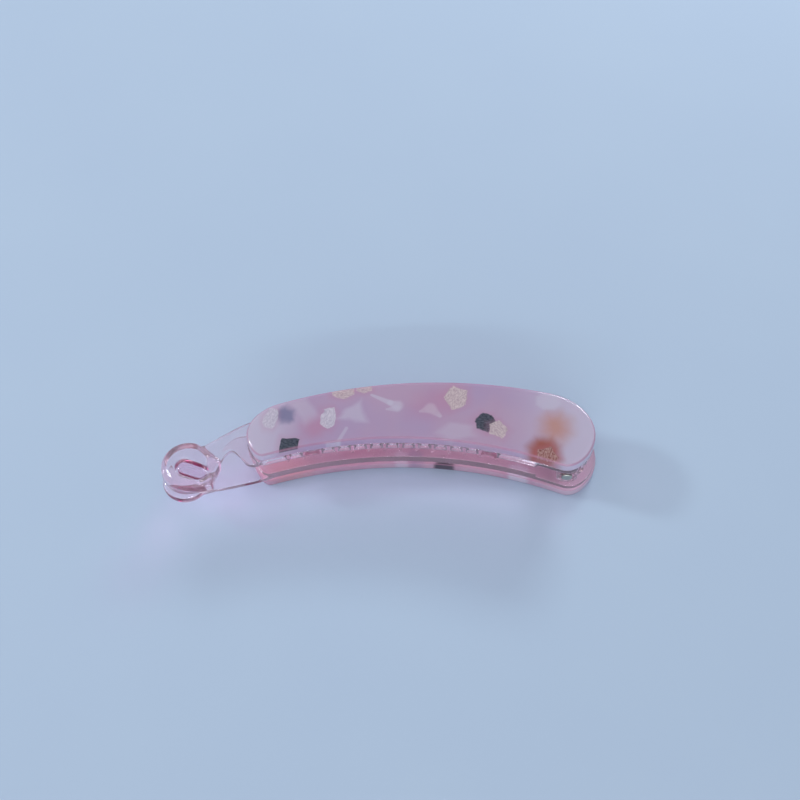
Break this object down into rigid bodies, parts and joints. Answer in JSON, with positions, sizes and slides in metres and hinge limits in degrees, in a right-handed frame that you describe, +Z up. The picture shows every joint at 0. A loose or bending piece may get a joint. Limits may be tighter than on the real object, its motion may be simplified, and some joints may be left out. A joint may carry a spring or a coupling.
{
  "type": "banana hair clip",
  "caption": "Curved hinged hair clip: clear toothed jaws faced with polished chip-sheet covers, a steel hinge pin at one end and a snap catch at the other.",
  "frame": {"origin": "middle of the clip's overall box, on the surface the lower cover lies on", "axes": "+X along the length from the catch to the hinge, +Y towards the outer side of the bend, +Z up through the stacked jaws"},
  "size_m": [0.119, 0.0328, 0.0167],
  "materials": {
    "clear_pink": "clear injection-moulded plastic with a light pink tint, glossy",
    "mauve_chip_sheet": "polished translucent mauve-pink sheet with black, white and amber chips set in it",
    "steel_pin": "plain turned steel, slightly dull"
  },
  "bodies": {
    "lower": {"lower_jaw": "clear_pink", "lower_cover": "mauve_chip_sheet", "hinge_pin": "steel_pin"},
    "upper": {"upper_jaw": "clear_pink", "upper_cover": "mauve_chip_sheet"}
  },
  "joints": [
    {"name": "jaw_hinge", "type": "hinge", "parent": "lower", "child": "upper", "pos_m": [0.05079, 0.00024, 0.00835], "axis": [0, 1, 0], "range_deg": [0, 38]}
  ]
}
